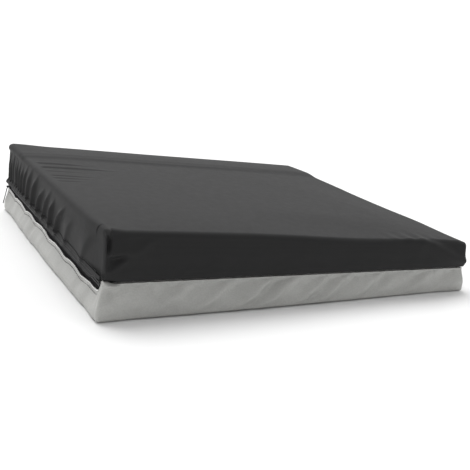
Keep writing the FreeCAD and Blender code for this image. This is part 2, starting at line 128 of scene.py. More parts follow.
def grid_faces(lines, count):
    """Four-sided faces of a grid that is `lines` lines of `count` points."""
    return [(r * count + c, r * count + c + 1, (r + 1) * count + c + 1, (r + 1) * count + c)
            for r in range(lines - 1) for c in range(count - 1)]


def open_box(xs, ys, rows):
    """Points and faces of a capped tube: the cap is the grid xs by ys, and each row is one ring down.

    Each point is (x, y, row), with row 0 for the cap.
    """
    across, along = len(xs), len(ys)
    points = [(x, y, 0.0) for y in ys for x in xs]
    faces = grid_faces(along, across)
    rim = list(range(across))
    rim += [r * across + across - 1 for r in range(1, along)]
    rim += [(along - 1) * across + c for c in range(across - 2, -1, -1)]
    rim += [r * across for r in range(along - 2, 0, -1)]
    ring = rim
    count = len(rim)
    for row in rows:
        start = len(points)
        points += [(points[i][0], points[i][1], row) for i in rim]
        fresh = list(range(start, start + count))
        faces += [(ring[(i + 1) % count], ring[i], fresh[i], fresh[(i + 1) % count]) for i in range(count)]
        ring = fresh
    return np.array(points), faces


def rounded(x, y, depth, half_x, half_y, radius):
    """Rounds a box's edges: returns the point and its outward direction. Depth is measured from the cap."""
    inner_x = np.clip(x, -(half_x - radius), half_x - radius)
    inner_y = np.clip(y, -(half_y - radius), half_y - radius)
    inner_d = np.maximum(depth, radius)
    out = np.stack([x - inner_x, y - inner_y, depth - inner_d], 1)
    length = np.maximum(np.linalg.norm(out, axis=1, keepdims=True), 1e-9)
    out = out / length
    middle = np.stack([inner_x, inner_y, inner_d], 1)
    return middle + out * radius, out


def make_mesh(name, points, faces, body, material):
    """Makes a smooth-shaded piece."""
    mesh = bpy.data.meshes.new(name)
    mesh.from_pydata([tuple(map(float, p)) for p in points], [], faces)
    mesh.update()
    made = bpy.data.objects.new(name, mesh)
    bpy.context.scene.collection.objects.link(made)
    mesh.shade_smooth()
    mesh.materials.append(material)
    if body:
        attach(made, body)
    return made


def apply_modifier(target, kind, **settings):
    """Adds a modifier with the given settings and makes its result the mesh."""
    modifier = target.modifiers.new(kind.lower(), kind)
    for key, value in settings.items():
        setattr(modifier, key, value)
    bpy.context.view_layer.objects.active = target
    bpy.ops.object.modifier_apply(modifier=modifier.name)


def get_points(mesh):
    """The mesh's points as an array, one row each."""
    points = np.empty(len(mesh.vertices) * 3, dtype=np.float32)
    mesh.vertices.foreach_get("co", points)
    return points.reshape(-1, 3).astype(float)


SETTLE_FRAMES = 14
SETTLE_PRESSURE = 3.0
CLOTH_SETTINGS = {
    "quality": 5,
    "mass": 0.25,
    "tension_stiffness": 25,
    "compression_stiffness": 25,
    "shear_stiffness": 12,
    "bending_stiffness": 0.4,
    "use_pressure": True,
    "uniform_pressure_force": SETTLE_PRESSURE,
}


def settle(target, held, furthest):
    """Lets a fabric shell take its natural shape under pressure from inside.

    The held points stay put, and no other point moves further than `furthest`.
    """
    group = target.vertex_groups.new(name="held")
    group.add([int(index) for index in held], 1.0, "REPLACE")
    cloth = target.modifiers.new("cloth", "CLOTH")
    for key, value in CLOTH_SETTINGS.items():
        setattr(cloth.settings, key, value)
    cloth.settings.vertex_group_mass = group.name
    cloth.settings.effector_weights.gravity = 0
    before = get_points(target.data)
    scene = bpy.context.scene
    scene.frame_start, scene.frame_end = 1, SETTLE_FRAMES
    cloth.point_cache.frame_start, cloth.point_cache.frame_end = 1, SETTLE_FRAMES
    for frame_number in range(1, SETTLE_FRAMES + 1):
        scene.frame_set(frame_number)
    settled = target.evaluated_get(bpy.context.evaluated_depsgraph_get()).to_mesh()
    moved = get_points(settled) - before
    target.modifiers.remove(cloth)
    scene.frame_set(1)
    length = np.maximum(np.linalg.norm(moved, axis=1, keepdims=True), 1e-9)
    moved *= furthest * np.tanh(length / furthest) / length
    target.data.vertices.foreach_set("co", (before + moved).astype(np.float32).ravel())
    target.data.update()


# Materials


class Nodes:
    """A thin helper round a material's node tree."""

    def __init__(self, name):
        self.material = bpy.data.materials.new(name)
        self.material.use_nodes = True
        self.tree = self.material.node_tree
        self.shader = self.tree.nodes["Principled BSDF"]
        self.place = self.tree.nodes.new("ShaderNodeTexCoord").outputs["Object"]

    def add(self, kind, inputs=None, **settings):
        """Adds a node; each input is a value or another node's output."""
        node = self.tree.nodes.new(kind)
        for key, value in settings.items():
            setattr(node, key, value)
        for key, value in (inputs or {}).items():
            if isinstance(value, bpy.types.NodeSocket):
                self.tree.links.new(value, node.inputs[key])
            else:
                node.inputs[key].default_value = value
        return node

    def noise(self, scale, detail=3.0):
        """Soft noise, mostly from 0.3 to 0.7."""
        made = self.add("ShaderNodeTexNoise", {"Vector": self.place, "Scale": scale, "Detail": detail})
        return made.outputs["Fac"]

    def remap(self, value, low, high, out_low, out_high):
        """The value's place between low and high, taken to the same place between the two others."""
        made = self.add("ShaderNodeMapRange", {"Value": value, "From Min": low, "From Max": high,
                                               "To Min": out_low, "To Max": out_high})
        return made.outputs[0]

    def maths(self, operation, a, b):
        """One operation on two values."""
        return self.add("ShaderNodeMath", {0: a, 1: b}, operation=operation).outputs[0]

    def tint(self, colour, factor):
        """The colour, darkened or lightened by a factor from the texture."""
        made = self.add("ShaderNodeVectorMath", {0: colour[:3], "Scale": factor}, operation="SCALE")
        return made.outputs[0]

    def bump(self, height, strength, distance, below=None):
        """Surface detail from a height, on top of the detail below it."""
        inputs = {"Height": height, "Strength": strength, "Distance": distance}
        if below is not None:
            inputs["Normal"] = below
        return self.add("ShaderNodeBump", inputs).outputs[0]

    def link(self, value, socket):
        """Joins an output to one of the shader's sockets."""
        self.tree.links.new(value, self.shader.inputs[socket])


THREADS_PER_BEND, THREAD_SLACK = 14, 0.05


def thread_weave(nodes, pitch):
    """Height of a plain weave of the given pitch, seen from any of the three axes."""
    bent = nodes.noise(1 / (pitch * THREADS_PER_BEND), 2.0)
    shift = nodes.maths("MULTIPLY", bent, THREAD_SLACK)
    total = None
    for axis in range(3):
        part = nodes.add("ShaderNodeSeparateXYZ", {0: nodes.place}).outputs[axis]
        turns = nodes.maths("ADD", nodes.maths("MULTIPLY", part, 2 * math.pi / pitch), shift)
        wave = nodes.maths("SINE", turns, 0.0)
        total = wave if total is None else nodes.maths("ADD", total, wave)
    return nodes.remap(total, -3.0, 3.0, 0.0, 1.0)


def cloth_material(name, colour, roughness, pitch, weave_depth, uneven=0.08, crease=0.0, speckle=0.0,
                   coat=0.0, shine=0.5):
    """Woven or knitted cloth: its colour varies in soft patches by `uneven` and in dots by `speckle`.

    Pitch, weave depth and the depth of its fine creases are in metres.
    """
    nodes = Nodes(name)
    patches = nodes.remap(nodes.noise(7.0, 4.0), 0.3, 0.7, 1 - uneven, 1 + uneven)
    weave = thread_weave(nodes, pitch)
    lighter = nodes.maths("MULTIPLY", patches, nodes.remap(weave, 0.0, 1.0, 0.95, 1.05))
    if speckle:
        dots = nodes.remap(nodes.noise(430.0, 2.0), 0.35, 0.65, 1 - speckle, 1 + speckle)
        lighter = nodes.maths("MULTIPLY", lighter, dots)
    nodes.link(nodes.tint(colour, lighter), "Base Color")
    nodes.link(nodes.remap(nodes.noise(60.0), 0.3, 0.7, roughness - 0.02, roughness + 0.02), "Roughness")
    height = nodes.bump(weave, 0.6, weave_depth)
    if crease:
        longer = nodes.add("ShaderNodeMapping", {"Vector": nodes.place, "Scale": (1.0, 0.45, 1.0)})
        soft = nodes.add("ShaderNodeTexNoise", {"Vector": longer.outputs[0], "Scale": 34.0, "Detail": 3.0,
                                                "Distortion": 0.6})
        height = nodes.bump(soft.outputs["Fac"], 0.5, crease, height)
    nodes.link(height, "Normal")
    nodes.shader.inputs["Specular IOR Level"].default_value = shine
    nodes.shader.inputs["Coat Weight"].default_value = coat
    nodes.shader.inputs["Coat Roughness"].default_value = 0.35
    return nodes.material


def moulded_material(name, colour, roughness, metallic=0.0):
    """Moulded plastic or paint, paler and rougher where it is worn."""
    nodes = Nodes(name)
    worn = nodes.remap(nodes.noise(900.0, 4.0), 0.45, 0.75, 0.0, 1.0)
    nodes.link(nodes.tint(colour, nodes.remap(worn, 0.0, 1.0, 0.9, 1.35)), "Base Color")
    nodes.link(nodes.remap(worn, 0.0, 1.0, roughness, roughness + 0.18), "Roughness")
    nodes.link(nodes.bump(nodes.noise(1500.0, 3.0), 0.3, 0.00005), "Normal")
    nodes.shader.inputs["Metallic"].default_value = metallic
    return nodes.material


def foam_material(name, colour):
    """Open-celled foam in soft patches of colour."""
    nodes = Nodes(name)
    cells = nodes.add("ShaderNodeTexVoronoi", {"Vector": nodes.place, "Scale": 620.0}).outputs["Distance"]
    patches = nodes.remap(nodes.noise(9.0), 0.3, 0.7, 0.94, 1.05)
    lighter = nodes.maths("MULTIPLY", patches, nodes.remap(cells, 0.0, 0.7, 0.8, 1.08))
    nodes.link(nodes.tint(colour, lighter), "Base Color")
    nodes.shader.inputs["Roughness"].default_value = 0.95
    nodes.link(nodes.bump(cells, 0.7, 0.0006), "Normal")
    return nodes.material


COVER = cloth_material("cover_knit", (0.0250, 0.0250, 0.0253), 0.60, 0.0011, 0.00006, uneven=0.02,
                       shine=0.1)
BAND = cloth_material("band_weave", (0.018, 0.018, 0.019), 0.8, 0.0012, 0.0002, shine=0.2)
BASE = cloth_material("base_coated_weave", (0.443, 0.444, 0.426), 0.48, 0.0016, 0.00010, uneven=0.05,
                      speckle=0.05, crease=0.0003, coat=0.03)
RIM = cloth_material("rim_binding", (0.95, 0.95, 0.93), 0.45, 0.0009, 0.0001)
TAPE = cloth_material("zip_tape_weave", (0.008, 0.008, 0.0085), 0.85, 0.0008, 0.0001, shine=0.1)
THREAD = cloth_material("thread_twist", (0.035, 0.035, 0.037), 0.7, 0.0006, 0.0001)
HEM_THREAD = cloth_material("hem_thread_twist", (0.07, 0.07, 0.072), 0.7, 0.0006, 0.0001)
SLEEVE = cloth_material("sleeve_knit", (0.82, 0.82, 0.79), 0.9, 0.0018, 0.0004)
TEETH = moulded_material("zip_teeth_plastic", (0.012, 0.012, 0.013), 0.42)
PAINT = moulded_material("zip_black_paint", (0.016, 0.016, 0.018), 0.34, 0.35)
FIRM = foam_material("firm_foam", (0.72, 0.72, 0.66))
CORE = foam_material("core_foam", (0.46, 0.56, 0.70))
INSERT = foam_material("insert_foam", (0.85, 0.78, 0.58))

NODE_MATERIALS = {
    TAPE: ("zip_tape_lower", "zip_tape_upper"),
    TEETH: ("zip_teeth_upper", "zip_teeth_lower", "zip_stop_near", "zip_stop_far"),
    PAINT: ("zip_slider", "zip_pull"),
    SLEEVE: ("fire_sleeve",),
    FIRM: ("side_wall_front", "side_wall_back", "side_wall_left", "side_wall_right"),
    CORE: ("foam_core",),
    INSERT: ("castellated_insert",),
}
for material, names in NODE_MATERIALS.items():
    for name in names:
        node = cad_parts[name]
        node.data.materials.clear()
        node.data.materials.append(material)


# The top cover

GATHER_SEED = 11
GATHER_LAST = -0.28

# The gathers' sizes at the far end, in the middle and towards the near end of the zip side
GATHER_STEEP = (0.0026, 0.0040, 0.012)
GATHER_SOFT = (0.0065, 0.0140, 0.034)
GATHER_LEAN = (0.12, 0.85, 0.75)
GATHER_TALL = (0.0042, 0.0090, 0.0045)
GATHER_APART = (0.021, 0.054, 0.085)
GATHER_SLACK = 0.0042


def gather(off, near_side, far_side):
    """Cross-section of a gather: a steep flank on its near side and a long soft one behind."""
    return np.where(off < 0, np.exp(-((off / near_side) ** 2)), np.exp(-(np.abs(off / far_side) ** 1.5)))


def mix(values, zones):
    """The sum of the values, each times its zone's share."""
    return sum(value * share for value, share in zip(values, zones))


def left_folds(y, height):
    """Gathers of the zip side: narrow and upright at the far end, wider and slanting towards the middle."""
    dice = random.Random(GATHER_SEED)
    total = np.zeros_like(y)
    foot = HALF_Y - COVER_ROUND
    while foot > GATHER_LAST:
        far = float(ramp(0.15, 0.26, foot))
        near = float(ramp(-0.09, -0.17, foot))
        zones = (far, 1 - far - near, near)
        steep = mix(GATHER_STEEP, zones) * dice.uniform(0.8, 1.25)
        soft = mix(GATHER_SOFT, zones) * dice.uniform(0.8, 1.2)
        lean = mix(GATHER_LEAN, zones) * dice.uniform(0.75, 1.25)
        tall = mix(GATHER_TALL, zones) * dice.uniform(0.7, 1.15)
        reach = dice.uniform(0.060, 0.088)
        line = foot - lean * height * (0.65 + 0.35 * height / 0.08)
        widen = 0.75 + np.clip(height, 0, 0.1) / 0.085
        fade = 1 - ramp(0.45 * reach, reach, height)
        total += tall * gather(y - line, steep * widen, soft * widen) * fade
        foot -= mix(GATHER_APART, zones) * dice.uniform(0.75, 1.3)
    slack = (1 - ramp(0.03, 0.085, height)) * ramp(-0.25, 0.0, y)
    return total - GATHER_SLACK * slack


# Each wrinkle's place along the left edge, length, height, half width, and slant
TOP_WRINKLES = (
    (0.168, 0.10, 0.0016, 0.0045, -0.12),
    (0.126, 0.13, 0.0018, 0.005, -0.08),
    (0.088, 0.07, 0.0008, 0.004, -0.10),
    (0.046, 0.075, 0.0011, 0.004, -0.12),
    (0.022, 0.06, 0.0009, 0.004, -0.10),
    (-0.006, 0.05, 0.0008, 0.004, -0.06),
)
WRINKLE_START = 0.016


def cover_wrinkles(x, y):
    """Long shallow creases of the top panel that start at the thick end."""
    total = np.zeros_like(x)
    for place, length, tall, wide, tilt in TOP_WRINKLES:
        from_left = x + HALF_X - WRINKLE_START
        line = place + tilt * from_left
        fade = ramp(0.0, 0.012, from_left) * (1 - ramp(0.55 * length, 1.5 * length, from_left))
        total += tall * fade * (bump(line, wide, y) - 0.7 * bump(line - 1.9 * wide, wide, y))
    return total


def skirt_foot(x, y):
    """The skirt ends at the hem on the zip side and hangs in front of the band on the others."""
    lifted = 0.0035 + 0.0035 * ramp(-0.360, -0.388, x) * ramp(0, -0.2, y)
    plain = slope(SEAM_LEFT, SEAM_RIGHT, x) + lifted
    hem = slope(SEAM_LEFT, SEAM_RIGHT, x) + BAND_TALL
    return plain + (hem - plain) * zip_side(x, y, HALF_X)


DENT_DEEP, ARC_TALL, FOLD_TALL, FOLD_HOLLOW = 0.0070, 0.0046, 0.0050, 0.0025


def front_creases(x, z, height):
    """Creases of the front: a dent and an arc near the left end, a slanting fold at the right end."""
    dent_ends = ramp(-0.398, -0.388, x) * (1 - ramp(-0.368, -0.338, x))
    below = z - (0.113 + 0.09 * (x + 0.39))
    total = DENT_DEEP * dent_ends * np.tanh(below / 0.0030) * np.exp(-((below / 0.014) ** 2))
    arc = -0.322 - 1.1 * (0.135 - z) - 6.0 * (0.135 - z) ** 2
    total += ARC_TALL * bump(arc, 0.0100, x) * ramp(0.078, 0.095, z) * (1 - ramp(0.132, 0.145, z))
    fold = 0.300 + 2.2 * (0.104 - z)
    total += FOLD_TALL * ramp(fold + 0.035, fold, x) * ramp(fold - 0.06, fold, x) * ramp(0.0, 0.02, height)
    return total - FOLD_HOLLOW * ramp(fold + 0.01, fold + 0.05, x) * ramp(0.0, 0.02, height)


SLIT_PLACE, SLIT_WIDE, SLIT_DEEP = -0.3875, 0.0031, 0.0088
RIDGE_PLACE, RIDGE_WIDE, RIDGE_TALL = -0.3930, 0.0024, 0.0042
CORNER_IN, CORNER_BACK = 0.0050, 0.0100


def near_corner(x, y, z):
    """The tuck at the near left corner: the side panel's edge stands proud, with a slit behind it."""
    x = x + CORNER_IN * ramp(-0.374, -0.392, x) * ramp(-0.27, -0.36, y)
    on_front = y < -0.33
    open_z = ramp(0.114, 0.126, z) * (1 - ramp(0.140, 0.148, z))
    slit = bump(SLIT_PLACE + 0.08 * (z - 0.13), SLIT_WIDE, x) * on_front
    y = y + SLIT_DEEP * slit * open_z
    ridge_z = ramp(0.078, 0.094, z) * (1 - ramp(0.142, 0.152, z))
    ridge = bump(RIDGE_PLACE, RIDGE_WIDE, x) * on_front * ridge_z
    y = y - RIDGE_TALL * ridge
    soft = ramp(-0.354, -0.386, x) * np.clip((z - 0.124) / 0.028, 0, 1) ** 2 * on_front
    return x, y + CORNER_BACK * soft * (1 - ridge) * (1 - 0.9 * slit), z


def facing(out):
    """How much each point faces up or down, left, right, front and back, from 0 to 1."""
    sides = (-out[:, 2], -out[:, 0], out[:, 0], -out[:, 1], out[:, 1])
    return tuple(np.clip(side, 0, 1) for side in sides)


def top_swell(px, py):
    """How far the top panel stands above its flat wedge."""
    # Crown, broad unevenness, the raised strip at the back with its lip, and the wrinkles
    swell = 0.0035 * (1 - np.abs(px / HALF_X) ** 5) * (1 - np.abs(py / HALF_Y) ** 6)
    swell += 0.0008 * waves(px, 3, 0.42) * waves(py, 4, 0.5)
    swell += 0.0045 * ramp(0.205, 0.262, py) * (1 - 0.2 * ramp(0.30, HALF_Y, py) * ramp(-0.3, 0.0, px))
    swell += 0.0020 * ramp(0.28, 0.35, py) * ramp(-0.30, -0.38, px)
    swell += 0.0008 * bump(0.232, 0.009, py) * (1 - ramp(0.05, 0.25, px))
    swell += cover_wrinkles(px, py)

    # The front edge dips in the middle, and the right edge and its near corner lie lower
    swell -= 0.0045 * bump(0.13, 0.16, px) * ramp(-0.20, -0.34, py)
    swell -= 0.0042 * ramp(0.26, 0.40, px) * ramp(0.25, -0.12, py)
    return swell - 0.0025 * ramp(0.375, 0.396, px) * ramp(-0.2, -0.36, py)


COVER_TURN = (0.0030, 0.0048)


def shape_cover(points):
    """Turns the flat grid of the top cover into its real shape; returns the points."""
    x, y, row = points.T
    skirt = np.clip(row, 0.0, 1.0)
    inward = np.clip(row - 1.0, 0.0, 10.0)
    foot_z = skirt_foot(x, y)
    top_z = slope(THICK_LEFT, THICK_RIGHT, x)
    full = top_z - foot_z
    place, out = rounded(x, y, skirt * full, HALF_X, HALF_Y, COVER_ROUND)
    z = top_z - place[:, 2]
    height = z - foot_z
    px, py = place[:, 0], place[:, 1]
    up, left, right, front, back = facing(out)
    wall = 1 - up

    # The top panel, the bellies of the walls, and the walls' lean inwards towards the top
    swell = up * top_swell(px, py)
    belly = np.sin(math.pi * np.clip(height / full, 0, 1))
    swell += 0.0016 * wall * belly * (front + back + right)
    swell += 0.0020 * left**2 * belly * (1 - np.abs(py / HALF_Y) ** 4)
    swell -= 0.0050 * wall * ramp(0.4, 1.0, height / full) * (left**2 * ramp(-0.1, 0.35, py) + 0.6 * front)
    swell += left**2 * left_folds(py, height)

    # The skirt's foot on the three plain sides: slightly full, with soft waves
    swell += 0.0016 * wall * (front + back + right) * bump(0.010, 0.012, height)
    swell += 0.0012 * wall * (front + back + right) * waves(px + 2.3 * py, 7, 0.16) * ramp(0.06, 0.0, height)
    swell += front * front_creases(px, z, height)

    # Small ripples along the front's upper edge, right of its middle
    ripple = bump(0.255, 0.06, px) * np.sin(2 * math.pi * px / 0.034 + 1.0)
    swell += 0.0016 * ripple * ramp(-0.30, -0.355, py) * ramp(0.025, 0.0, top_z - z)

    px, py, z = px + out[:, 0] * swell, py + out[:, 1] * swell, z - out[:, 2] * swell
    px, py, z = near_corner(px, py, z)

    # The foot of the skirt turns in under the cover
    turned = COVER_TURN[0] + COVER_TURN[1] * np.clip(inward - 1, 0, 1)
    inner_x, inner_y = HALF_X - turned, HALF_Y - turned
    under = inward > 0
    px = np.where(under, np.clip(px, -inner_x, inner_x), px)
    py = np.where(under, np.clip(py, -inner_y, inner_y), py)
    z = np.where(under, foot_z - 0.0006 * np.clip(inward, 0, 1), z)
    return np.stack([px, py, z], 1)


COVER_TRAVEL, BASE_TRAVEL = 0.0030, 0.0020


def build_cover():
    """The top cover, whose hem line and near left tuck are held while it settles."""
    xs = spread(-HALF_X, HALF_X, 0.0022, 0.0100, 0.044)
    ys = spread(-HALF_Y, HALF_Y, 0.0022, 0.0024, 0.030)
    rows = list(np.linspace(0, 1, 24)[1:]) + [2.0, 3.0]
    points, faces = open_box(xs, ys, rows)
    cover = make_mesh("cover_top", shape_cover(points), faces, "mattress", COVER)
    x, y, row = points.T
    tuck = (x < -0.31) & (y < -0.362)
    settle(cover, np.nonzero((row > 0.93) | tuck)[0], COVER_TRAVEL)
    apply_modifier(cover, "SOLIDIFY", thickness=COVER_CLOTH, offset=-1.0)
    apply_modifier(cover, "SUBSURF", levels=1, render_levels=1)
    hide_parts("top_cover")


# The base cover


SCALLOP_LONG, SCALLOP_DEEP = 0.108, 0.0056
SAG_MOST, SAG_MORE = -0.0095, 0.0032


def rim_sag(y):
    """How far the rim of the zip side lies above or below its straight line: scallops with cusps below."""
    arch = np.abs(np.sin(math.pi * (y + 0.030 + 0.010 * waves(y, 21, 0.5, 2)) / SCALLOP_LONG))
    sag = -0.0008 - 0.0030 * ramp(0.04, -0.08, y) * ramp(-0.350, -0.29, y)
    rise = 0.0075 * ramp(-0.340, -0.364, y)
    sag = sag + SCALLOP_DEEP * (arch - 0.62) * ramp(-0.345, -0.31, y) + 0.0006 * waves(y, 22, 0.05, 2)
    return np.maximum(sag - SAG_MORE * ramp(0.30, 0.18, y), SAG_MOST) + rise


def rim_height(x, y):
    """Top of the base's wall: the seam on three sides, the lower rim along the zip."""
    seam = slope(SEAM_LEFT, SEAM_RIGHT, x)
    seam = seam + 0.0045 * ramp(-0.372, -0.392, x) * ramp(-0.345, -0.360, y)
    return seam + zip_side(x, y, BASE_X) * (RIM_HEIGHT + rim_sag(y) - seam)


SLANT_TALL, CROSS_TALL, PUCKER_DEEP = 0.0050, 0.0044, 0.0034


def base_folds(along, height, tall, seed):
    """Slack of the coated fabric: slanting folds, broad ones across them, and puckers under the seam."""
    part = height / tall
    slant = along - 1.4 * (height - 0.03)
    total = SLANT_TALL * waves(slant, seed, 0.085, 2) * ramp(0.0, 0.3, part) * ramp(1.0, 0.75, part)
    crossing = np.abs(waves(along + 0.8 * height, seed + 1, 0.15, 2))
    total += CROSS_TALL * crossing * bump(0.55, 0.30, part)
    pucker = waves(along, seed + 2, 0.023, 2)
    return total - PUCKER_DEEP * np.clip(pucker, 0, 1) * ramp(0.62, 0.97, part)


BASE_TURN = (0.0015, 0.0042)
TAB_TALL = 0.0110


def shape_base(points):
    """Turns the flat grid of the base cover into its real shape, lower edge full and upper edge taut."""
    x, y, row = points.T
    wall_row = np.clip(row, 0.0, 1.0)
    inward = np.clip(row - 1.0, 0.0, 10.0)
    top = rim_height(x, y)
    place, out = rounded(x, y, wall_row * top, BASE_X, BASE_Y, BASE_ROUND)
    px, py, z = place[:, 0], place[:, 1], place[:, 2]
    _, left, right, front, back = facing(out)
    part = np.clip(z / top, 0, 1)

    # The foot of each wall stands out, most at its middle
    mid_y, mid_x = 1 - (py / BASE_Y) ** 2, 1 - np.abs(px / BASE_X) ** 3
    low = ramp(1.0, 0.25, part)
    swell = left * (0.0065 + 0.0055 * mid_y + 0.0010 * waves(py, 43, 0.26, 2)) * low
    swell += front * (0.0045 + 0.0065 * mid_x * ramp(0.45, -0.15, px)) * low
    swell += right * 0.0035 * mid_y * low + back * (0.001 + 0.006 * mid_x) * low

    # Folds and puckers, calmer on the zip side and gone at the seam
    swell += front * base_folds(px, z, top, 31) + back * base_folds(-px, z, top, 35)
    swell += right * base_folds(-py, z, top, 38)
    swell += left * (0.0017 * waves(py + 0.35 * z, 41, 0.07, 3) * bump(0.55, 0.4, part))
    swell -= left * 0.0010 * np.clip(waves(py, 42, 0.018, 2), 0, 1) * ramp(0.6, 0.95, part)
    swell *= ramp(1.0, 0.93, part) * 0.75 + 0.25

    # The folded tab at the near left corner, and the four corners drawn out at the floor
    tab = ramp(-0.356, -0.390, px) * front
    swell += TAB_TALL * tab * (ramp(0.80, 0.93, part) - 0.85 * ramp(0.94, 1.0, part))
    corner = ramp(0.82, 0.98, np.abs(px) / BASE_X) * ramp(0.82, 0.98, np.abs(py) / BASE_Y)
    tuck = 0.0030 * corner * ramp(0.9, 0.0, part)
    px = px + out[:, 0] * swell + np.sign(px) * tuck
    py = py + out[:, 1] * swell + np.sign(py) * tuck
    px = px + 0.0030 * ramp(-0.380, -0.393, px) * ramp(-0.345, -0.362, py) * ramp(0.3, 1.0, part)

    # The rim turns in over the foam
    turned = BASE_TURN[0] + BASE_TURN[1] * np.clip(inward - 1, 0, 1)
    inner_x, inner_y = BASE_X - turned, BASE_Y - turned
    under = inward > 0
    px = np.where(under, np.clip(px, -inner_x, inner_x), px)
    py = np.where(under, np.clip(py, -inner_y, inner_y), py)
    z = np.where(under, top - 0.0008 * np.clip(inward - 1, 0, 1), z)
    return np.stack([px, py, z], 1)


def build_base():
    """The base cover, whose underside and rim are held while it settles."""
    xs = spread(-BASE_X, BASE_X, 0.0014, 0.0050, 0.014)
    ys = spread(-BASE_Y, BASE_Y, 0.0014, 0.0050, 0.014)
    rows = list(np.linspace(0, 0.85, 16)[1:]) + list(np.linspace(0.85, 1, 9)[1:]) + [2.0, 3.0]
    points, faces = open_box(xs, ys, rows)
    faces = [tuple(reversed(face)) for face in faces]
    base = make_mesh("cover_base", shape_base(points), faces, "mattress", BASE)
    row = points[:, 2]
    settle(base, np.nonzero((row > 0.85) | (row == 0))[0], BASE_TRAVEL)
    apply_modifier(base, "SOLIDIFY", thickness=BASE_CLOTH, offset=-1.0)
    apply_modifier(base, "SUBSURF", levels=1, render_levels=1)
    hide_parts("base_cover")


# Strips: the band, the rim's binding and the hem


TUBE_SIDES = 8


def tube_along(name, path, radius, body, material):
    """A closed tube round a path of points, with flat ends."""
    sides = TUBE_SIDES
    ahead = np.gradient(path, axis=0)
    ahead /= np.linalg.norm(ahead, axis=1, keepdims=True)
    side = np.cross(ahead, np.array([0.0, 0.0, 1.0]))
    side /= np.linalg.norm(side, axis=1, keepdims=True)
    above = np.cross(side, ahead)
    points = []
    for step in range(sides):
        turn = 2 * math.pi * step / sides
        points.append(path + radius * (math.cos(turn) * side + math.sin(turn) * above))
    points = np.stack(points, 1).reshape(-1, 3)
    faces = []
    for ring in range(len(path) - 1):
        for step in range(sides):
            a, b = ring * sides + step, ring * sides + (step + 1) % sides
            faces.append((a, b, b + sides, a + sides))
    faces += [tuple(reversed(range(sides))), tuple(range((len(path) - 1) * sides, len(path) * sides))]
    return make_mesh(name, points, faces, body, material)


def build_band():
    """The recessed band, a little puckered, on the front, the right side and the back."""
    out = BAND_HIGH.x
    deep = BAND_HIGH.y
    corner = 0.006

    def arc(cx, cy, start):
        turns = [math.radians(start + step) for step in range(0, 91, 15)]
        return [(cx + corner * math.cos(turn), cy + corner * math.sin(turn)) for turn in turns]

    run = [(-out, ZIP_NEAR - 0.002)] + arc(-out + corner, -deep + corner, 180)
    run += [(x, -deep) for x in np.linspace(-out + 2 * corner, out - 2 * corner, 260)]
    run += arc(out - corner, -deep + corner, 270)
    run += [(out, y) for y in np.linspace(-deep + 2 * corner, deep - 2 * corner, 240)]
    run += arc(out - corner, deep - corner, 0)
    run += [(x, deep) for x in np.linspace(out - 2 * corner, -out + 2 * corner, 260)]
    run += arc(-out + corner, deep - corner, 90) + [(-out, ZIP_FAR + 0.002)]
    run = np.array(run)
    ahead = np.gradient(run, axis=0)
    ahead /= np.linalg.norm(ahead, axis=1, keepdims=True)
    outward = np.stack([ahead[:, 1], -ahead[:, 0]], 1)
    far = np.concatenate([[0.0], np.cumsum(np.linalg.norm(np.diff(run, axis=0), axis=1))])
    levels = np.linspace(0.0006, BAND_TALL - 0.0006, 6)
    points = []
    for level in levels:
        depth = 0.0002 - 0.0005 * math.sin(math.pi * level / BAND_TALL) + 0.0003 * waves(far, 51, 0.022, 2)
        flat = run + outward * depth[:, None]
        points.append(np.column_stack([flat, slope(SEAM_LEFT, SEAM_RIGHT, run[:, 0]) + level]))
    faces = grid_faces(len(levels), len(run))
    band = make_mesh("recessed_band", np.concatenate(points), faces, "mattress", BAND)
    apply_modifier(band, "SOLIDIFY", thickness=BAND_CLOTH, offset=-1.0)
    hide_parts("seam_band")


RIM_RADIUS, RIM_ABOVE = 0.0011, 0.0012
TAPE_BEHIND, TAPE_OVERLAP, TAPE_CLOTH = 0.0012, 0.0020, 0.0007


def build_rim():
    """Binding along the rim of the base on the zip side, and the edge of the zip's tape behind it."""
    y = np.linspace(ZIP_NEAR, ZIP_FAR, 420)
    x = np.full_like(y, (PIPING_LOW.x + PIPING_HIGH.x) / 2)
    z = rim_height(x, y) + RIM_ABOVE
    rim = tube_along("rim_binding", np.stack([x, y, z], 1), RIM_RADIUS, "mattress", RIM)
    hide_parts("base_rim_piping")

    # The lower tape's sewn edge, which follows the rim down behind its binding
    levels = np.linspace(0.0, 1.0, 5)
    top = np.full_like(y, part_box("zip_tape_lower")[0].z + TAPE_OVERLAP)
    points = [np.stack([x + TAPE_BEHIND, y, z + (top - z) * level], 1) for level in levels]
    faces = grid_faces(len(levels), len(y))
    edge = make_mesh("zip_tape_edge", np.concatenate(points), faces, "mattress", TAPE)
    apply_modifier(edge, "SOLIDIFY", thickness=TAPE_CLOTH, offset=-1.0)


STITCH_SIDES = 6
STITCH_SUNK = 0.0005
STITCH_INSET = 0.004
STITCH_PROFILE = ((0.0, 0.35), (0.2, 0.95), (0.5, 1.1), (0.8, 0.95), (1.0, 0.35))


